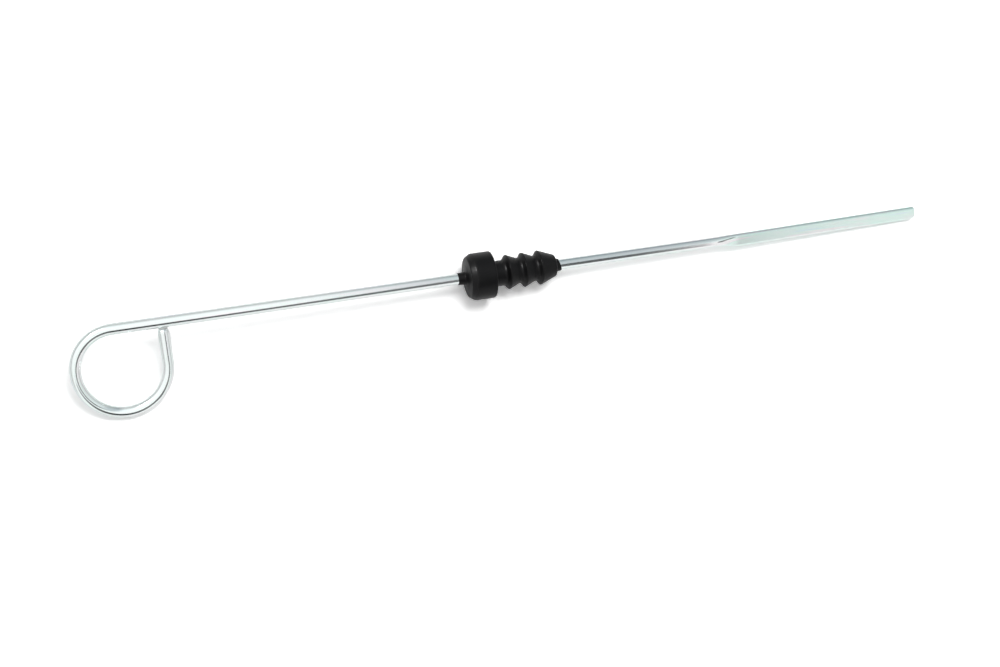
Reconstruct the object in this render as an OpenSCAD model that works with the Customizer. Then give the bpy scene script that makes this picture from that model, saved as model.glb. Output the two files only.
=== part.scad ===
// Engine oil dipstick: a bent wire with a finger eye and a rolled blade, and a
// barbed rubber plug that closes the guide tube. It lies as it comes to rest:
// on the rim of the plug's head, the eye's outer bend and the blade's tip.

/* [Wire] */
// diameter of the round wire
wire_d = 4.0; // [3.6:0.1:4.4]
// straight rod from the plug's seat face to the first bend of the eye
rod_to_eye = 132.0; // [90:1:180]
// straight rod from the plug's seat face to the start of the swage
rod_to_blade = 86.0; // [60:1:150]

/* [Finger eye] */
// radius of the first bend, off the rod
bend_a_r = 13.6; // [12:0.2:15]
// short straight between the first bend and the second
eye_side = 0.3; // [0.2:0.1:3]
// radius of the second bend, round the eye's outer end
bend_b_r = 15.2; // [13:0.2:17]
// radius of the third bend, back towards the rod
bend_c_r = 15.0; // [14:0.2:18]
// gap between the wire's cut end and the side of the rod
end_gap = 0.25; // [0.1:0.05:1]

/* [Rolled blade] */
// width over the rounded edges
blade_w = 5.0; // [4.6:0.1:6.5]
// thickness between the flats
blade_t = 2.7; // [1.8:0.1:3.0]
// length of the swaged change from round to flat
swage_len = 12.0; // [8:0.5:20]
// length of the blade from the end of the swage to the tip
blade_len = 72.5; // [50:1:110]
// rounding of the tip's near corner, in plan
tip_near_r = 2.3; // [1:0.1:2.3]
// rounding of the tip's far corner, in plan
tip_far_r = 0.7; // [0.3:0.1:1.5]

/* [Plug head] */
// diameter of the head's rim
head_d = 16.8; // [15:0.2:19]
// width of the rim's cylinder
rim_len = 7.2; // [5:0.2:9]
// axial length of the chamfer behind the rim
chamfer_len = 2.0; // [1:0.1:3]
// diameter of the back face inside the chamfer
back_d = 14.3; // [13:0.1:14.8]
// rise of the domed back face at the sleeve lip
back_dome = 0.5; // [0.2:0.1:1]
// small bevel on the rim's two edges
rim_edge = 0.3; // [0.2:0.05:0.6]

/* [Plug neck and barbs] */
// diameter of the neck under the head
neck_d = 9.2; // [8:0.1:10]
// length of the neck from the seat face to the first barb
neck_len = 4.3; // [3:0.1:6]
// diameter over the barb tips
barb_d = 12.4; // [11:0.1:14]
// diameter of the valleys between the barbs
valley_d = 8.6; // [7.5:0.1:9.5]
// spacing of the barbs along the plug
barb_pitch = 5.9; // [5:0.1:7]
// axial length of a barb's steep flank, on the head's side
flank_len = 1.3; // [1:0.1:2]
// width of the narrow land at a barb's tip
land_len = 0.3; // [0.2:0.1:0.6]
// number of barbs
barbs = 3; // [2:1:4]
// length of the nose cone, from the last barb's land to the rounded end
nose_len = 4.6; // [4:0.1:6]
// diameter of the nose where its rounded end starts
nose_d = 8.8; // [8:0.1:9.5]
// radius of the nose's rounded end
nose_r = 1.35; // [0.8:0.05:1.6]

/* [Sleeve lips] */
// wall of the thin sleeve lips on the wire
lip_wall = 0.35; // [0.3:0.05:0.8]
// length of the lip behind the head
back_lip_len = 3.0; // [2:0.1:5]
// length of the lip past the nose
nose_lip_len = 2.6; // [1:0.1:4]

/* [Clearances] */
// radial clearance of the plug's bore on the wire
bore_gap = 0.02; // [0.02:0.01:0.1]

/* [Hidden] */
$fn = 48;

wire_r = wire_d / 2;
head_r = head_d / 2;
bore_r = wire_r + bore_gap;
lip_r = bore_r + lip_wall;
tip_x = rod_to_blade + swage_len + blade_len;

// The eye's centre line lies in the XY plane: right-angle bends, each [radius,
// straight wire before it]. The line sets out along -X and turns towards -Y.
BENDS = [[bend_a_r, 0], [bend_b_r, eye_side], [bend_c_r, 0]];
LAST = len(BENDS) - 1;
TURN = 90;
function onward(i) = [-cos(TURN * i), -sin(TURN * i)];
function inward(i) = [sin(TURN * i), -cos(TURN * i)];
function bend_end(i) = i < 0
    ? [-rod_to_eye, 0]
    : bend_centre(i) - BENDS[i][0] * inward(i + 1);
function bend_start(i) = bend_end(i - 1) + BENDS[i][1] * onward(i);
function bend_centre(i) = bend_start(i) + BENDS[i][0] * inward(i);
leg_start = bend_end(LAST);
leg_len = -leg_start[1] - wire_r - end_gap;
eye_left = bend_start(1);
eye_low = bend_centre(LAST);

// Resting on the floor: the head's rim, the last bend's outer side and the tip's
// near corner touch it. s is the sine of the roll about the rod, t the tangent of
// the pitch towards the tip; each pass solves one from the other.
edge_flat = blade_w / 2 - blade_t / 2;
function tip_touch_x(s) = let (y = edge_flat + s * blade_t / 2 - (blade_w / 2 - tip_near_r))
    tip_x - tip_near_r + sqrt(tip_near_r * tip_near_r - y * y);
function pitch_tan(s) = (head_r - blade_t / 2 - s * edge_flat) / (tip_touch_x(s) + rim_edge);
function roll_sin(s, t) = (head_r - rim_edge * t - wire_r * sqrt(1 + t * t) - t * eye_low[0]
    - bend_c_r * (sqrt(s * s + t * t) - s)) / (bend_c_r - eye_low[1]);
function settled(s, passes) = passes == 0 ? s : settled(roll_sin(s, pitch_tan(s)), passes - 1);
rest_sin = settled(0.35, 12);
roll = asin(rest_sin);
pitch = atan(pitch_tan(rest_sin));
lift = head_r * cos(pitch) - rim_edge * sin(pitch);

// the resting part is centred over the origin
reach_left = eye_left[0] * cos(pitch) + eye_left[1] * rest_sin * sin(pitch) - wire_r;
reach_right = tip_x * cos(pitch) + (rest_sin * edge_flat + blade_t / 2) * sin(pitch);
reach_near = (eye_low[1] - bend_c_r) * cos(roll) - wire_r;
reach_far = head_r;

STEEL = [0.72, 0.75, 0.78];
RUBBER = [0.06, 0.06, 0.07];

module at_rest() {
    translate([-(reach_left + reach_right) / 2, -(reach_near + reach_far) / 2, lift])
        rotate([0, pitch, 0]) rotate([roll, 0, 0]) children();
}

// straight wire of the given length, setting out as bend i does
module straight_wire(from, i, length) {
    translate([from[0], from[1], 0]) rotate([0, 0, TURN * i]) rotate([0, -90, 0])
        cylinder(h = length, r = wire_r);
}

module bend(i) {
    translate([bend_centre(i)[0], bend_centre(i)[1], 0]) rotate([0, 0, TURN * (i + 1)])
        rotate_extrude(angle = TURN) translate([BENDS[i][0], 0]) circle(wire_r);
}

// round wire: the rod, the bends of the eye and the leg with its cut end
module bent_wire() {
    straight_wire([rod_to_blade, 0], 0, rod_to_blade + rod_to_eye);
    for (i = [0:LAST]) {
        bend(i);
        if (BENDS[i][1] > 0) straight_wire(bend_end(i - 1), i, BENDS[i][1]);
    }
    straight_wire(leg_start, LAST + 1, leg_len);
}

// One closed section of the swage in the YZ plane at x: u = 0 is round, u = 1 flat.
// Its ends reach a little into the rod and the blade, a hair inside their surface.
RING = 40;
SWAGE_STEPS = 12;
SWAGE_SINK = 0.2;
SWAGE_INSET = 0.004;
function ease(u) = u * u * (3 - 2 * u);
function ring(x, u) = let (flat = edge_flat * u,
    r = wire_r + (blade_t / 2 - wire_r) * u - SWAGE_INSET)
    [for (k = [0:RING - 1]) let (a = 360 * (k + 0.5) / RING)
        [x, (cos(a) > 0 ? flat : -flat) + r * cos(a), r * sin(a)]];

module swage() {
    pts = [for (j = [0:SWAGE_STEPS]) let (u = j / SWAGE_STEPS)
        for (p = ring(rod_to_blade - SWAGE_SINK + (swage_len + 2 * SWAGE_SINK) * u, ease(u))) p];
    sides = [for (j = [0:SWAGE_STEPS - 1], k = [0:RING - 1]) let (n = (k + 1) % RING)
        [j * RING + k, (j + 1) * RING + k, (j + 1) * RING + n, j * RING + n]];
    caps = [[for (k = [0:RING - 1]) k], [for (k = [0:RING - 1]) SWAGE_STEPS * RING + RING - 1 - k]];
    polyhedron(points = pts, faces = concat(sides, caps));
}

// plan of the blade's end: what is left outside a rounded corner
module corner_cut(side, r) {
    translate([tip_x - r, side * (blade_w / 2 - r)])
        difference() {
            translate([0, side > 0 ? 0 : -2 * r]) square([2 * r, 2 * r]);
            circle(r);
        }
}

module blade() {
    difference() {
        translate([rod_to_blade + swage_len, 0, 0]) rotate([0, 90, 0]) {
            linear_extrude(blade_len) union() {
                square([blade_t, 2 * edge_flat], center = true);
                translate([0, edge_flat]) circle(blade_t / 2);
                translate([0, -edge_flat]) circle(blade_t / 2);
            }
        }
        translate([0, 0, -blade_t]) linear_extrude(2 * blade_t) {
            corner_cut(-1, tip_near_r);
            corner_cut(1, tip_far_r);
        }
    }
}

module dipstick_wire() {
    color(STEEL) at_rest() {
        bent_wire();
        swage();
        blade();
    }
}

// half section of the plug, [distance along the rod, radius], seat face at 0
back_x = -(rim_len + chamfer_len);
NECK = [[0, head_r - rim_edge], [0, neck_d / 2]];
BARB = [for (i = [0:barbs - 1]) let (x = neck_len + i * barb_pitch)
    each [[x, (i == 0 ? neck_d : valley_d) / 2], [x + flank_len, barb_d / 2],
        [x + flank_len + land_len, barb_d / 2]]];
nose_x = neck_len + (barbs - 1) * barb_pitch + flank_len + land_len + nose_len;
NOSE = [for (a = [0:15:90]) [nose_x + nose_r * sin(a), nose_d / 2 - nose_r * (1 - cos(a))]];
nose_end = nose_x + nose_r;
PROFILE = concat(
    [[back_x - back_dome - back_lip_len, bore_r], [back_x - back_dome - back_lip_len, lip_r],
        [back_x - back_dome, lip_r], [back_x, back_d / 2],
        [-rim_len, head_r - rim_edge], [rim_edge - rim_len, head_r], [-rim_edge, head_r]],
    NECK, BARB, NOSE,
    [[nose_end, lip_r], [nose_end + nose_lip_len, lip_r], [nose_end + nose_lip_len, bore_r]]);

module rubber_plug() {
    color(RUBBER) at_rest() rotate([0, 90, 0])
        rotate_extrude() polygon([for (p = PROFILE) [p[1], p[0]]]);
}

dipstick_wire();
rubber_plug();
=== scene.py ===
import math
import bpy
import numpy as np
from mathutils import Matrix, Vector


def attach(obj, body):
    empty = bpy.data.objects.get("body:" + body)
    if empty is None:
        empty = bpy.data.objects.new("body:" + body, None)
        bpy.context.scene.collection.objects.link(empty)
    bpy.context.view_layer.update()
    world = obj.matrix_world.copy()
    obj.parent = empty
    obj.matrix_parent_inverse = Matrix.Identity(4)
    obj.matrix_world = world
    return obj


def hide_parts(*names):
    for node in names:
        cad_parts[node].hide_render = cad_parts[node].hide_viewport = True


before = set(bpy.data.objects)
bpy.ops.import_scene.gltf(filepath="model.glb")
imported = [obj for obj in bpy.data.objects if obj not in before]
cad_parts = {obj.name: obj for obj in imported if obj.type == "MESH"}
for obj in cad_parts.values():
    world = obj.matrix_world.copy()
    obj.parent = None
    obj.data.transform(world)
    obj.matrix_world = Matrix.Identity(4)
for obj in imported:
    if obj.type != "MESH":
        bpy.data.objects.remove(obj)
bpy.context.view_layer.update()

print("frame loaded, nodes:", ", ".join(sorted(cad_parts)))

mm = 0.001

# how the part lies: roll about the rod, pitch down to the blade's tip, shift and lift in mm
resting = {
    "rollDegrees": 23.0899,
    "pitchDegrees": 2.2196,
    "shift": (-11.372253, 10.184413),
    "lift": 8.382079,
}


# a point of the straight-laid part to its place at rest: turned by the roll about x,
# then by the pitch about y, then shifted
def layAtRest(points):
    roll, pitch = math.radians(resting["rollDegrees"]), math.radians(resting["pitchDegrees"])
    x, y, z = points[..., 0], points[..., 1], points[..., 2]
    yRolled = y * math.cos(roll) - z * math.sin(roll)
    zRolled = y * math.sin(roll) + z * math.cos(roll)
    return mm * np.stack([
        resting["shift"][0] + x * math.cos(pitch) + zRolled * math.sin(pitch),
        resting["shift"][1] + yRolled,
        resting["lift"] - x * math.sin(pitch) + zRolled * math.cos(pitch),
    ], axis=-1)


# 0 up to start, then growing evenly to 1 over a length, which is negative to run backwards
def rise(value, start, length):
    return np.clip((value - start) / length, 0, 1)


# the cubic u * u * (3 - 2 * u), which is level at 0 and at 1
def ease(u):
    return u * u * (3 - 2 * u)


# quads between neighbouring rows of a grid whose columns run round and close; with
# closeRows the last row also joins the first
def gridFaces(rows, columns, closeRows=False):
    row = np.arange(rows if closeRows else rows - 1)[:, None]
    column = np.arange(columns)[None, :]
    nextRow, nextColumn = (row + 1) % rows, (column + 1) % columns
    corners = [row * columns + column, nextRow * columns + column,
               nextRow * columns + nextColumn, row * columns + nextColumn]
    return np.stack(np.broadcast_arrays(*corners), axis=-1).reshape(-1, 4)


# a sixth of the sum of a . (b x c) over all triangles: negative where the faces look inwards
def enclosedVolume(points, triangles):
    a, b, c = (points[triangles[:, i]] for i in range(3))
    return float(np.einsum("ij,ij->i", a, np.cross(b, c)).sum() / 6)


def addObject(name, data):
    added = bpy.data.objects.new(name, data)
    bpy.context.scene.collection.objects.link(added)
    return added


# one piece at the origin, with its faces turned outwards and its attributes for the material
def makePiece(name, points, quads, triangles, attributes, nodeName, material):
    halves = np.concatenate([quads[:, [0, 1, 2]], quads[:, [0, 2, 3]], triangles])
    if enclosedVolume(points, halves) < 0:
        quads, triangles = quads[:, ::-1], triangles[:, ::-1]
    mesh = bpy.data.meshes.new(name)
    mesh.from_pydata(points.tolist(), [], quads.tolist() + triangles.tolist())
    mesh.polygons.foreach_set("use_smooth", np.ones(len(mesh.polygons), bool))
    for key, values in attributes.items():
        kind, field = ("FLOAT_VECTOR", "vector") if values.ndim == 2 else ("FLOAT", "value")
        layer = mesh.attributes.new(key, kind, "POINT")
        layer.data.foreach_set(field, values.astype(np.float32).ravel())
    mesh.update()
    mesh.materials.append(material)
    piece = addObject(name, mesh)
    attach(piece, "root")
    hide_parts(nodeName)
    print(name, "made:", len(halves), "triangles")


# small helpers for the node trees of materials and of the world
def newMaterial(name):
    material = bpy.data.materials.new(name)
    material.use_nodes = True
    material.node_tree.nodes.clear()
    return material, material.node_tree


def addNode(tree, kind, inputs=None, **settings):
    node = tree.nodes.new(kind)
    for key, value in settings.items():
        setattr(node, key, value)
    for key, value in (inputs or {}).items():
        socket = node.inputs[key]
        if isinstance(value, bpy.types.NodeSocket):
            tree.links.new(value, socket)
        else:
            socket.default_value = value
    return node


def mathNode(tree, operation, *values):
    return addNode(tree, "ShaderNodeMath", dict(enumerate(values)), operation=operation).outputs[0]


def product(tree, first, *others):
    for other in others:
        first = mathNode(tree, "MULTIPLY", first, other)
    return first


# colours are sockets or red, green and blue
def mixColour(tree, factor, first, second):
    inputs = {0: factor, 6: first, 7: second}
    for index in (6, 7):
        if not isinstance(inputs[index], bpy.types.NodeSocket):
            inputs[index] = (*inputs[index], 1)
    return addNode(tree, "ShaderNodeMix", inputs, data_type="RGBA").outputs[2]


def remap(tree, value, low, high, toLow=0.0, toHigh=1.0, smooth=True):
    inputs = {"Value": value, "From Min": low, "From Max": high, "To Min": toLow, "To Max": toHigh}
    kind = "SMOOTHSTEP" if smooth else "LINEAR"
    return addNode(tree, "ShaderNodeMapRange", inputs, interpolation_type=kind).outputs["Result"]


def noiseOf(tree, vector, stretch=(1, 1, 1), scale=1.0, detail=3.0, rough=0.55, shift=(0, 0, 0)):
    placed = addNode(tree, "ShaderNodeMapping", {"Vector": vector, "Scale": stretch, "Location": shift})
    inputs = {"Vector": placed.outputs[0], "Scale": scale, "Detail": detail, "Roughness": rough}
    return addNode(tree, "ShaderNodeTexNoise", inputs).outputs["Fac"]


def rampOf(tree, value, stops):
    node = addNode(tree, "ShaderNodeValToRGB", {"Fac": value})
    ramp = node.color_ramp
    while len(ramp.elements) < len(stops):
        ramp.elements.new(0.5)
    for element, (place, colour) in zip(ramp.elements, stops):
        element.position = place
        element.color = (*colour, 1)
    return node.outputs["Color"]


# the plated wire, in mm
wire = {
    "radius": 2.0,
    "rodToEye": 132.0,  # straight rod from the plug's seat face to the eye's first bend
    "rodToBlade": 86.0,  # straight rod from the plug's seat face to the start of the swage
    "bends": (13.6, 15.2, 15.0),  # first bend off the rod, round the end, back to the rod
    "eyeSide": 0.3,  # short straight between the first bend and the second
    "endGap": 0.25,  # between the wire's cut end and the side of the rod
    "bladeWidth": 5.0,
    "bladeThickness": 2.7,
    "bladeLength": 72.5,
    "bladeSet": (-0.4, 0.36),  # how far the blade stands off the rod's line at its start and its tip
    "swageLength": 12.0,
    "pressLength": 8.5,  # the flats are pressed this fast, and the width follows over the swage
    "pressBlend": 0.08,  # how softly the pressing starts and ends, as a part of its length
    "creaseWidth": 0.15,  # width of a painted shade line that stands for a crease the rolls leave along one side of the flats' start; the mesh has no crease
    "creaseOffset": 0.05,  # how far beside the flat it starts
    "creaseDrift": 0.03,  # and how fast it leaves the flat
    "creaseStart": (0.5, 1.0),  # where it appears, and over what length
    "creaseEnd": (9.8, -2.5),  # where it has gone, and the length it takes, backwards
    "nearCorner": 2.3,
    "farCorner": 0.7,
    "cornerBlur": 0.05,  # how softly a corner takes over from the blade's side
    "cornerRelease": 0.5,  # how fast it lets go of the width further in, per mm squared
    "tipEdge": 0.14,  # rounding of the blade's sheared end
    "cutEdge": 0.4,  # rounding of the wire's cut end
    "endRings": (0.25, 0.5, 0.75),  # rings that close both end faces, as parts of their size
    "around": 96,
    "tipStations": 40,
}


# the centre line from the wire's cut end to the blade's tip, in the plane of the eye:
# a straight is start + t * length * heading, and an arc is centre + radius * (sin, -cos)
# of the heading, which turns evenly along it
def wireLine(values):
    first, second, third = values["bends"]
    quarter = -math.pi / 2
    reach = values["radius"] + values["endGap"]
    legLength = first + values["eyeSide"] + second - third - reach
    stretches = [  # length, turn, stations
        (legLength, 0.0, 14),
        (third * -quarter, quarter, 40),
        (second * -quarter, quarter, 40),
        (values["eyeSide"], 0.0, 2),
        (first * -quarter, quarter, 40),
        (values["rodToEye"] + values["rodToBlade"], 0.0, 110),
        (values["swageLength"], 0.0, 90),
        (values["bladeLength"] - values["nearCorner"], 0.0, 70),
    ]
    point = np.array([-values["rodToEye"] - first + second + third, -reach])
    heading, travelled = quarter, 0.0
    places, headings, lengths = [point[None, :]], [np.array([heading])], [np.array([travelled])]
    for length, turn, stations in stretches:
        t = np.linspace(0, 1, stations + 1)[1:]
        angle = heading + turn * t
        if turn:
            radius = length / turn
            centre = point + radius * np.array([-math.sin(heading), math.cos(heading)])
            place = centre + radius * np.stack([np.sin(angle), -np.cos(angle)], axis=-1)
        else:
            place = point + (t * length)[:, None] * np.array([math.cos(heading), math.sin(heading)])
        places.append(place)
        headings.append(angle)
        lengths.append(travelled + t * length)
        point, heading, travelled = place[-1], heading + turn, travelled + length
    # the rounded end of the blade, its stations crowding towards the tip as 1 - sin does
    t = np.sin(np.linspace(0, math.pi / 2, values["tipStations"] + 1))[1:]
    places.append(point + (t * values["nearCorner"])[:, None] * np.array([1.0, 0.0]))
    headings.append(np.full(len(t), heading))
    lengths.append(travelled + t * values["nearCorner"])
    return np.concatenate(places), np.concatenate(headings), np.concatenate(lengths)


# how far into a rounded end a station is: 1 inside, falling as a quarter circle to 1 - edge / half
def endRounding(distance, edge, half):
    u = np.clip(1 - distance / edge, 0, 1)
    return 1 - edge / half * (1 - np.sqrt(1 - u * u))


# the smaller of value and limit with the corner between them rounded
def softLimit(value, limit, blur):
    return limit - blur * np.logaddexp(0, (limit - value) / blur)


# half width that a tip corner of radius r leaves: half the blade - r + sqrt(r * r - into * into),
# where into is how far a station stands into the corner; before it the limit grows as into squared
def cornerLimit(values, toTip, r):
    into = r - toTip
    inCorner = values["bladeWidth"] / 2 - r + np.sqrt(np.clip(r * r - into * into, 0, None))
    before = values["bladeWidth"] / 2 + values["cornerRelease"] * into * into
    return np.where(into < 0, before, inCorner)


# The section at each station is a stadium: radius * (cos a, sin a) with the half flat added
# to the side of cos a. Where the rolls press first the radius eases to half the blade's
# thickness, and the width grows along the whole swage; at the tip two circles in plan limit
# the width on either side.
def wireSurface(values):
    place, heading, along = wireLine(values)
    # the first and last stations are repeated for the rings of the two end faces
    rings = np.array(values["endRings"])
    ringSize = np.concatenate([rings, np.ones(len(along)), rings[::-1]])[:, None]
    repeat = np.pad(np.arange(len(along)), len(rings), mode="edge")
    place, heading, along = place[repeat], heading[repeat], along[repeat][:, None]
    wholeLength = float(along[-1, 0])
    toTip = wholeLength - along
    swageStart = wholeLength - values["bladeLength"] - values["swageLength"]
    pastStart = along - swageStart

    halfThickness = values["bladeThickness"] / 2
    press, blend = pastStart / values["pressLength"], values["pressBlend"]
    pressed = blend * (np.logaddexp(0, press / blend) - np.logaddexp(0, (press - 1) / blend))
    widened = ease(rise(pastStart, 0, values["swageLength"]))
    radius = values["radius"] + (halfThickness - values["radius"]) * pressed
    flat = values["radius"] + (values["bladeWidth"] / 2 - values["radius"]) * widened - radius
    angle = 2 * math.pi * (np.arange(values["around"]) + 0.5) / values["around"]
    side = np.sign(np.cos(angle)) * flat + np.cos(angle) * radius
    height = np.sin(angle) * radius

    # the pressCrease mask places painted shade where a crease would be; it does not change the surface
    besideCrease = side - flat - values["creaseOffset"] - values["creaseDrift"] * pastStart
    crease = np.exp(-(besideCrease / values["creaseWidth"]) ** 2)
    crease = crease * rise(pastStart, *values["creaseStart"]) * rise(pastStart, *values["creaseEnd"])

    near, far, blur = values["nearCorner"], values["farCorner"], values["cornerBlur"]
    side = softLimit(side, cornerLimit(values, toTip, far), blur)
    side = -softLimit(-side, cornerLimit(values, toTip, near), blur)
    shrink = ringSize * endRounding(along, values["cutEdge"], values["radius"])
    shrink = shrink * endRounding(toTip, values["tipEdge"], halfThickness)
    middle = (near - far) / 2 * rise(toTip, near, -near) ** 2
    side = middle + (side - middle) * shrink
    height = height * shrink
    # the rolls leave the blade a little off the rod's line, and not quite in line with it
    startSet, tipSet = values["bladeSet"]
    alongBlade = rise(toTip, values["bladeLength"], -values["bladeLength"])
    offLine = startSet * widened + (tipSet - startSet) * alongBlade
    side, middle = side + offLine, middle + offLine

    across = np.stack([-np.sin(heading), np.cos(heading)], axis=-1)
    inPlane = place[:, None, :] + side[:, :, None] * across[:, None, :]
    points = np.concatenate([inPlane, height[:, :, None]], axis=-1)
    straight = np.stack([np.broadcast_to(along, side.shape), side, height], axis=-1)
    # a pole closes each end face with a fan of triangles
    poles = [[*place[0], 0.0], [*(place[-1] + middle[-1] * across[-1]), 0.0]]
    polesStraight = [[0.0, 0.0, 0.0], [wholeLength, middle[-1, 0], 0.0]]
    points = np.concatenate([points.reshape(-1, 3), poles])
    straight = np.concatenate([straight.reshape(-1, 3), polesStraight])
    rows, columns = side.shape
    column = np.arange(columns)
    following = (column + 1) % columns
    last = (rows - 1) * columns
    fans = np.concatenate([
        np.stack([np.full(columns, rows * columns), column, following], axis=-1),
        np.stack([np.full(columns, rows * columns + 1), last + following, last + column], axis=-1),
    ])
    crease = np.append(crease, [0.0, 0.0])
    return layAtRest(points), gridFaces(rows, columns), fans, straight * mm, crease, swageStart * mm


# the rubber plug, in mm
plug = {
    # distance along the rod from the seat face, radius, rounding of the corner
    "profile": (
        (-12.7, 2.02, 0.02), (-12.7, 2.12, 0.03), (-10.0, 2.32, 0.4),  # the lip behind the head
        (-9.45, 4.6, 0.6), (-9.1, 7.2, 0.7), (-7.3, 8.3, 0.9), (-6.7, 8.4, 0.5), (0.0, 8.4, 0.35),  # head
        (0.0, 4.6, 0.3), (4.3, 4.6, 1.5),  # neck
        (5.6, 6.2, 0.16), (5.9, 6.2, 0.16), (10.2, 4.3, 1.2),  # three barbs
        (11.5, 6.2, 0.16), (11.8, 6.2, 0.16), (16.1, 4.3, 1.2),
        (17.4, 6.2, 0.16), (17.7, 6.2, 0.16), (22.3, 4.4, 1.3),
        (23.65, 3.9, 0.7), (23.65, 2.5, 0.3),  # nose
        (26.0, 2.2, 0.08), (26.0, 2.02, 0.05),  # the lip past the nose
    ),
    "around": 160,
    "step": 0.35,  # rough gap between points along the profile's straights
    "cornerPoints": 7,
    "cornerShare": 0.45,  # most of a side that a rounded corner may take
    "backLip": (-9.8, -2.9),  # where the lip behind the head starts, and its length, backwards
    "noseLip": (23.8, 2.4),
    "lipRagged": 0.12,  # how unevenly the sleeve lips end
    "lipWaves": ((1, 0.5, 0.6), (3, 0.3, 1.9), (7, 0.2, 0.0)),  # waves round the rod, share, start
    "lipSlant": 0.55,  # how much further the lip past the nose reaches on one side
    "slantTurn": 0.3,  # and which side that is, as an angle round the rod
}


# points spaced evenly between two ends, without them, about a step apart
def evenSteps(start, end, step):
    steps = max(1, int(np.hypot(*(end - start)) / step))
    return start + (end - start) * (np.arange(1, steps) / steps)[:, None]


# The profile's corners become arcs tangent to both sides: centre + start turned by t * turn.
# Its straights are cut into short steps. Each point keeps how much it belongs to an outward corner.
def roundedProfile(values):
    corners = np.array(values["profile"])
    count = len(corners)
    t = np.linspace(0, 1, values["cornerPoints"])
    arcs, turns = [], []
    for i in range(count):
        here, before, after = corners[i, :2], corners[i - 1, :2], corners[(i + 1) % count, :2]
        back, ahead = before - here, after - here
        backLength, aheadLength = np.hypot(*back), np.hypot(*ahead)
        back, ahead = back / backLength, ahead / aheadLength
        half = 0.5 * math.acos(np.clip(back @ ahead, -1, 1))
        longestCut = values["cornerShare"] * min(backLength, aheadLength)
        cut = min(corners[i, 2] / math.tan(half), longestCut)
        radius = cut * math.tan(half)
        centre = here + (back + ahead) / np.hypot(*(back + ahead)) * radius / math.sin(half)
        start, end = here + back * cut - centre, here + ahead * cut - centre
        turn = math.atan2(start[0] * end[1] - start[1] * end[0], start @ end)
        angle = turn * t
        arcs.append(centre + np.stack([start[0] * np.cos(angle) - start[1] * np.sin(angle),
                                       start[0] * np.sin(angle) + start[1] * np.cos(angle)], axis=-1))
        turns.append(turn)
    points, worn = [], []
    for i in range(count):
        between = evenSteps(arcs[i][-1], arcs[(i + 1) % count][0], values["step"])
        points += [arcs[i], between]
        outward = 1.0 if turns[i] < 0 else -0.5
        worn += [outward * np.sin(math.pi * t), np.zeros(len(between))]
    return np.concatenate(points), np.concatenate(worn)


# The profile turned about the rod: (distance, radius * cos a, radius * sin a). The ends of
# the two sleeve lips are pulled in and out by a few waves round the rod.
def plugSurface(values):
    profile, worn = roundedProfile(values)
    angle = 2 * math.pi * np.arange(values["around"]) / values["around"]
    along, radius = profile[:, :1], profile[:, 1:]
    wave = sum(share * np.sin(times * angle + start) for times, share, start in values["lipWaves"])
    backLip, noseLip = rise(along, *values["backLip"]), rise(along, *values["noseLip"])
    ragged = values["lipRagged"] * wave * (backLip + noseLip)
    slant = values["lipSlant"] * (1 + np.cos(angle - values["slantTurn"])) * noseLip
    points = np.stack([along + ragged - slant, radius * np.cos(angle), radius * np.sin(angle)], axis=-1)
    rows, columns = points.shape[:2]
    quads = gridFaces(rows, columns, closeRows=True)
    return layAtRest(points.reshape(-1, 3)), quads, np.repeat(worn, columns)


# what each mask adds to a start, one after another: start + mask * amount + ...
def addUp(tree, start, parts):
    for mask, amount in parts:
        start = mathNode(tree, "MULTIPLY_ADD", mask, amount, start)
    return start


# the bump, shader and output that both finishes end in; own holds what only one of them sets
def surfaceOf(tree, values, colour, roughness, height, own):
    bump = addNode(tree, "ShaderNodeBump", {
        "Strength": values["bump"], "Distance": values["bumpHeight"], "Height": height})
    shader = addNode(tree, "ShaderNodeBsdfPrincipled", {
        "Base Color": colour, "Roughness": roughness, "Normal": bump.outputs[0], **own})
    addNode(tree, "ShaderNodeOutputMaterial", {"Surface": shader.outputs[0]})


# zinc plate; its patterns give how finely they repeat along the wire and across it, and its
# amounts give a mask's low and high end and what it does at the two
zinc = {
    "grey": (0.87, 0.88, 0.885),
    "mint": (0.73, 0.93, 0.86),
    "blue": (0.69, 0.83, 0.93),
    "rose": (0.91, 0.87, 0.87),
    "tintStops": ((0.28, "blue"), (0.41, "mint"), (0.54, "mint"), (0.62, "grey"), (0.74, "rose")),
    "streaks": (28, 900, 900),
    "clouds": (60, 260, 260),
    "tintOnRod": 0.38,
    "moreOnBlade": 0.6,
    "tintStart": 0.007,  # over what length of the swage the blade's tint comes in, in m
    "tintAmount": (0.3, 0.7, 0.4, 1.0),  # by the clouds
    "handling": (0.42, 0.43, 0.44),
    "marks": (500, 1400, 1400),
    "markAmount": (0.66, 0.76, 0.0, 0.45),
    "bareSteel": (0.38, 0.37, 0.36),
    "bareEnd": (0.00002, 0.00016, 1.0, 0.0),  # by the distance from the wire's cut end, in m
    "bareTint": 0.3,
    # colour of the painted shade in the crease at the flats' start
    "paintedCreaseShade": (0.07, 0.085, 0.09),
    "creaseAmount": (0.25, 0.8),
    "creasePatches": (0.3, 0.55, 0.5, 0.95),  # by the clouds
    "drawnLines": (14, 9000, 9000),
    "rolledLines": (120, 2600, 2600),
    "crystals": (4000, 4000, 4000),
    "roughness": 0.14,
    "rougher": {"lines": 0.12, "marks": 0.35, "cutEnd": 0.25, "blade": 0.08},
    "relief": {"crystals": 0.25, "rolled": 1.2},  # beside the drawn lines
    "bump": 0.2,
    "bumpHeight": 0.00001,
}


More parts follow.
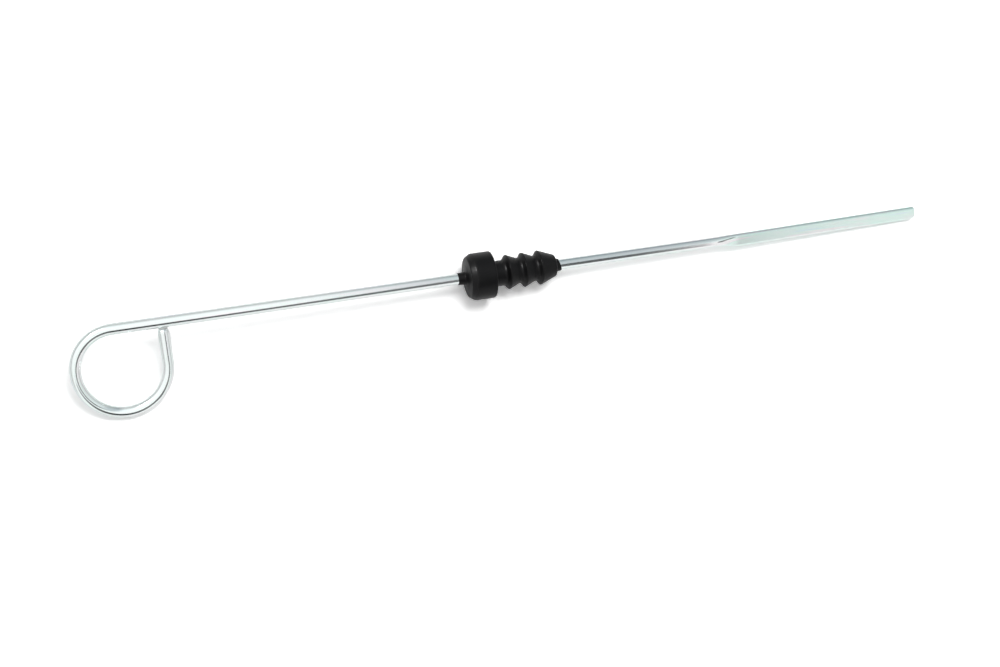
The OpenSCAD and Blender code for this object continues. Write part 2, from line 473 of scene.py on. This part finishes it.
def platedWire(swageStart):
    material, tree = newMaterial("brightZincPlate")
    straight = addNode(tree, "ShaderNodeAttribute", attribute_name="alongWire").outputs["Vector"]
    along = addNode(tree, "ShaderNodeSeparateXYZ", {0: straight}).outputs["X"]
    onBlade = remap(tree, along, swageStart, swageStart + zinc["tintStart"])

    # long pale streaks of the passivated zinc, stronger on the rolled blade
    streak = noiseOf(tree, straight, zinc["streaks"], detail=2.0, rough=0.5)
    cloud = noiseOf(tree, straight, zinc["clouds"], detail=3.0, rough=0.6, shift=(3, 1, 7))
    tint = rampOf(tree, streak, [(place, zinc[name]) for place, name in zinc["tintStops"]])
    strength = addUp(tree, zinc["tintOnRod"], ((onBlade, zinc["moreOnBlade"]),))
    strength = product(tree, strength, remap(tree, cloud, *zinc["tintAmount"]))
    colour = mixColour(tree, strength, zinc["grey"], tint)

    # small dull marks from handling
    marks = noiseOf(tree, straight, zinc["marks"], detail=4.0, rough=0.7, shift=(1, 5, 2))
    marked = remap(tree, marks, *zinc["markAmount"])
    colour = mixColour(tree, marked, colour, zinc["handling"])

    # the wire's cut end shows bare steel
    cutEnd = remap(tree, along, *zinc["bareEnd"])
    colour = mixColour(tree, product(tree, cutEnd, zinc["bareTint"]), colour, zinc["bareSteel"])

    # painted shade: a dark line, in patches, stands for the shade in the crease at the start of the flats
    crease = addNode(tree, "ShaderNodeAttribute", attribute_name="pressCrease").outputs["Fac"]
    crease = product(tree, remap(tree, crease, *zinc["creaseAmount"]),
                     remap(tree, cloud, *zinc["creasePatches"]))
    colour = mixColour(tree, crease, colour, zinc["paintedCreaseShade"])

    # lines left by the drawing die: very long along the wire and very thin across
    lines = noiseOf(tree, straight, zinc["drawnLines"], detail=3.0, rough=0.65, shift=(0, 2, 4))
    rolled = noiseOf(tree, straight, zinc["rolledLines"], detail=3.0, rough=0.6, shift=(8, 2, 4))
    grain = noiseOf(tree, straight, zinc["crystals"], detail=2.0)
    rougher, relief = zinc["rougher"], zinc["relief"]
    roughness = addUp(tree, zinc["roughness"] - rougher["lines"] / 2, (
        (lines, rougher["lines"]), (marked, rougher["marks"]),
        (cutEnd, rougher["cutEnd"]), (onBlade, rougher["blade"])))
    height = addUp(tree, lines, (
        (grain, relief["crystals"]), (product(tree, rolled, onBlade), relief["rolled"])))
    surfaceOf(tree, zinc, colour, roughness, height, {"Metallic": 1.0})
    return material


# satin rubber; patches, specks and pores give how finely each noise repeats
rubber = {
    "black": (0.004, 0.004, 0.0043),
    "worn": (0.011, 0.011, 0.0115),
    "wornAmount": (0.1, 0.9),
    "wornPatches": (0.35, 0.7, 0.3, 0.9),
    "dust": (0.035, 0.035, 0.034),
    "dustAmount": (0.66, 0.74, 0.0, 0.35),
    "dustPatches": (0.4, 0.7),
    "patches": 240,
    "specks": 2600,
    "pores": 5200,
    "roughness": 0.36,
    "rougher": {"patches": 0.16, "worn": -0.14, "dust": 0.6},
    "relief": {"pores": 0.6},  # beside the specks
    "shine": 0.16,
    "bump": 0.35,
    "bumpHeight": 0.00003,
}


def blackRubber():
    material, tree = newMaterial("satinBlackRubber")
    place = addNode(tree, "ShaderNodeTexCoord").outputs["Object"]
    worn = addNode(tree, "ShaderNodeAttribute", attribute_name="outwardCorner").outputs["Fac"]
    patches = noiseOf(tree, place, scale=rubber["patches"], detail=4.0)
    specks = noiseOf(tree, place, scale=rubber["specks"], detail=3.0, rough=0.7, shift=(2, 0, 1))
    pores = noiseOf(tree, place, scale=rubber["pores"], detail=2.0, shift=(0, 3, 1))
    # outward edges are rubbed paler and smoother in patches, and dust sits in specks
    edge = product(tree, remap(tree, worn, *rubber["wornAmount"]),
                   remap(tree, patches, *rubber["wornPatches"]))
    colour = mixColour(tree, edge, rubber["black"], rubber["worn"])
    dusty = product(tree, remap(tree, specks, *rubber["dustAmount"]),
                    remap(tree, patches, *rubber["dustPatches"]))
    colour = mixColour(tree, dusty, colour, rubber["dust"])
    rougher, relief = rubber["rougher"], rubber["relief"]
    roughness = addUp(tree, rubber["roughness"] - rougher["patches"] / 2, (
        (patches, rougher["patches"]), (edge, rougher["worn"]), (dusty, rougher["dust"])))
    height = addUp(tree, specks, ((pores, relief["pores"]),))
    surfaceOf(tree, rubber, colour, roughness, height, {"Specular IOR Level": rubber["shine"]})
    return material


points, quads, fans, straight, crease, swageStart = wireSurface(wire)
makePiece("formedWire", points, quads, fans, {"alongWire": straight, "pressCrease": crease},
          "dipstick_wire", platedWire(swageStart))

points, quads, corner = plugSurface(plug)
makePiece("rubberPlug", points, quads, np.zeros((0, 3), int), {"outwardCorner": corner},
          "rubber_plug", blackRubber())


studio = {
    "floorColour": 0.8,
    "floorShown": 1.6,  # what the camera sees of it is lifted to paper white
    "floorInMetal": 0.96,
    "floorReach": 4.0,
    "whiteFrom": (0.3, 0.6),  # distances over which the floor turns as white as the world
    # colour of the painted contact shadow on the floor
    "paintedContactShadow": (0.3, 0.29, 0.28),
    "contactShade": (0.12, 0.55),  # open sky round a floor point at which it is darkest and plain
    "contactReach": 0.004,
    "contactSamples": 12,
    "worldStrength": 0.5,
    "lamps": {  # place, size, power, whether it lights dull surfaces, whether it shines in gloss
        "softBox": ((0.17, 0.26, 0.86), 0.42, 4.5, True, False),
        "leftSpot": ((-0.44, 0.34, 0.62), 0.13, 6.0, False, True),
    },
}


# which rays ask: the camera's, those of gloss, and all that are mirrored or let through
def askingRays(tree):
    path = addNode(tree, "ShaderNodeLightPath").outputs
    mirrored = mathNode(tree, "MAXIMUM", path["Is Glossy Ray"], path["Is Transmission Ray"])
    return path["Is Camera Ray"], path["Is Glossy Ray"], mirrored


def makeFloor():
    mesh = bpy.data.meshes.new("studioFloor")
    reach = studio["floorReach"]
    corners = [(-reach, -reach, 0), (reach, -reach, 0), (reach, reach, 0), (-reach, reach, 0)]
    mesh.from_pydata(corners, [], [(0, 1, 2, 3)])
    floor = addObject("studioFloor", mesh)
    material, tree = newMaterial("palePaper")
    camera, _, mirrored = askingRays(tree)
    plain, lit, inMetal = ((studio[key],) * 3 for key in ("floorColour", "floorShown", "floorInMetal"))
    colour = mixColour(tree, mirrored, plain, inMetal)
    # painted contact shadow: the floor's colour is darkened by its ambient occlusion in the narrow gap
    # right beside what touches it
    openSky = addNode(tree, "ShaderNodeAmbientOcclusion", {"Distance": studio["contactReach"]},
                      samples=studio["contactSamples"]).outputs["AO"]
    clear = remap(tree, openSky, *studio["contactShade"])
    lit = mixColour(tree, clear, studio["paintedContactShadow"], lit)
    colour = mixColour(tree, camera, colour, lit)
    shader = addNode(tree, "ShaderNodeBsdfDiffuse", {"Color": colour, "Roughness": 0.0})
    # far from the object the camera and shining metal see the floor as white as the world
    place = addNode(tree, "ShaderNodeTexCoord").outputs["Object"]
    away = addNode(tree, "ShaderNodeVectorMath", {0: place}, operation="LENGTH").outputs["Value"]
    seen = mathNode(tree, "MAXIMUM", camera, mirrored)
    away = product(tree, remap(tree, away, *studio["whiteFrom"]), seen)
    white = addNode(tree, "ShaderNodeEmission", {"Color": (1, 1, 1, 1), "Strength": 1.0})
    shader = addNode(tree, "ShaderNodeMixShader", {0: away, 1: shader.outputs[0], 2: white.outputs[0]})
    addNode(tree, "ShaderNodeOutputMaterial", {"Surface": shader.outputs[0]})
    mesh.materials.append(material)


# The tent of light that metal mirrors. Directions are x along the part, y to the far side and
# z up; each step is the axis, from, to, and the values at the two, eased between them.
tent = {
    "overTop": (  # brightness from the near side to the far side
        (0.0, (1.1, 1.1, 1.1)), (0.25, (1.1, 1.1, 1.1)), (0.45, (1.15, 1.15, 1.16)),
        (0.7, (1.15, 1.15, 1.16)), (0.84, (0.95, 0.96, 0.97)), (0.93, (0.75, 0.76, 0.77)),
        (1.0, (0.75, 0.76, 0.77))),
    # a long dark opening low on the near side, which stands higher and wider towards the blade
    "openingMiddle": (("x", 0.1, 0.3, -1.01, -0.72),),  # angle from overhead, in radians
    "openingHalf": (("x", 0.1, 0.35, 0.26, 0.44),),
    "openingBlur": 0.08,
    "openingDepth": (  # how dark it is, from x -0.5 to x 0.5
        (0.08, 0.0), (0.2, 0.8), (0.35, 1.0), (0.5, 1.0), (0.62, 0.85), (0.75, 0.9), (0.77, 0.8),
        (0.82, 0.8), (0.835, 1.0), (0.915, 1.0), (0.93, 0.0)),
    "openingColour": (0.03, 0.03, 0.035),
    # the room is greyer beyond the tent, towards the blade's end and along the skyline
    "beyond": (("x", 0.14, 0.3, 0.0, 1.0), ("y", -0.45, -0.15, 0.0, 1.0), ("x", 0.41, 0.46, 0.5, 0.1)),
    "bladeEdge": (("x", 0.39, 0.44, 0.0, 1.0), ("x", 0.55, 0.65, 1.0, 0.0), ("y", -0.1, 0.3, 0.0, 0.4)),
    "beyondColour": (0.02, 0.1, 0.15),
    "bladeEnd": (0.38, 0.75, 0.0, 0.26),  # along x, growing evenly
    "skyline": (("z", 0.1, 0.65, 0.5, 0.0), ("y", -0.8, -0.45, 0.0, 1.0), ("y", 0.4, 0.9, 1.0, 0.6)),
    "skylineColour": (0.1, 0.1, 0.105),
}


def makeWorld():
    world = bpy.data.worlds.new("studioWorld")
    bpy.context.scene.world = world
    world.use_nodes = True
    tree = world.node_tree
    tree.nodes.clear()
    towards = addNode(tree, "ShaderNodeTexCoord").outputs["Generated"]
    apart = addNode(tree, "ShaderNodeSeparateXYZ", {0: towards}).outputs
    axes = {"x": apart[0], "y": apart[1], "z": apart[2]}
    x, y, z = axes.values()

    def shade(name):
        return product(tree, *(remap(tree, axes[axis], *step) for axis, *step in tent[name]))

    across = mathNode(tree, "SQRT", mathNode(tree, "ADD", product(tree, y, y), product(tree, z, z)))
    lean = mathNode(tree, "DIVIDE", y, mathNode(tree, "MAXIMUM", across, 0.001))  # -1 near, 1 far
    sky = rampOf(tree, remap(tree, lean, -1, 1, smooth=False), tent["overTop"])

    turned = mathNode(tree, "ARCTAN2", y, z)  # 0 overhead, minus a quarter turn at the near skyline
    fromMiddle = mathNode(tree, "ABSOLUTE", mathNode(tree, "SUBTRACT", turned, shade("openingMiddle")))
    outside = mathNode(tree, "SUBTRACT", fromMiddle, shade("openingHalf"))
    depthStops = [(place, (depth,) * 3) for place, depth in tent["openingDepth"]]
    depth = rampOf(tree, remap(tree, x, -0.5, 0.5, smooth=False), depthStops)
    depth = addNode(tree, "ShaderNodeSeparateXYZ", {0: depth}).outputs[0]
    opening = product(tree, remap(tree, outside, 0.0, tent["openingBlur"], 1.0, 0.0), depth)

    beyond = mathNode(tree, "MAXIMUM", shade("beyond"), shade("bladeEdge"))
    bladeEnd = remap(tree, x, *tent["bladeEnd"], smooth=False)
    grey = mathNode(tree, "MAXIMUM", bladeEnd, shade("skyline"))
    inMetal = mixColour(tree, grey, sky, tent["skylineColour"])
    inMetal = mixColour(tree, beyond, inMetal, tent["beyondColour"])
    inMetal = mixColour(tree, opening, inMetal, tent["openingColour"])

    camera, glossy, mirrored = askingRays(tree)
    colour = mixColour(tree, glossy, (1.0, 1.0, 1.0), inMetal)
    seen = mathNode(tree, "MAXIMUM", camera, mirrored)
    strength = remap(tree, seen, 0, 1, studio["worldStrength"], 1.0, smooth=False)
    shader = addNode(tree, "ShaderNodeBackground", {"Color": colour, "Strength": strength})
    addNode(tree, "ShaderNodeOutputWorld", {"Surface": shader.outputs[0]})


def makeLamps():
    for name, (place, size, power, inDull, inGloss) in studio["lamps"].items():
        light = bpy.data.lights.new(name, "AREA")
        light.shape = "SQUARE"
        light.size = size
        light.energy = power
        lamp = addObject(name, light)
        lamp.location = place
        lamp.rotation_euler = Vector(place).to_track_quat("Z", "Y").to_euler()
        lamp.visible_diffuse, lamp.visible_glossy = inDull, inGloss


# place in m and the directions of the picture's right, its top and away from what is seen
photoView = {
    "place": (-0.11958890, -0.07439521, 0.48390543),
    "right": (0.963484, -0.186303, 0.192324),
    "up": (0.155552, 0.974067, 0.164308),
    "back": (-0.217948, -0.128392, 0.967478),
    "lens": 49.973,
    "sensor": 36,
    "clipStart": 0.01,
}


def makeCamera():
    data = bpy.data.cameras.new("photoView")
    data.lens = photoView["lens"]
    data.sensor_width = photoView["sensor"]
    data.clip_start = photoView["clipStart"]
    camera = addObject("photoView", data)
    turn = Matrix((photoView["right"], photoView["up"], photoView["back"])).transposed()
    camera.matrix_world = Matrix.Translation(photoView["place"]) @ turn.to_4x4()
    bpy.context.scene.camera = camera


makeFloor()
makeWorld()
makeLamps()
makeCamera()
bpy.context.scene.view_settings.view_transform = "Standard"
print("floor, world, lamps and camera placed")
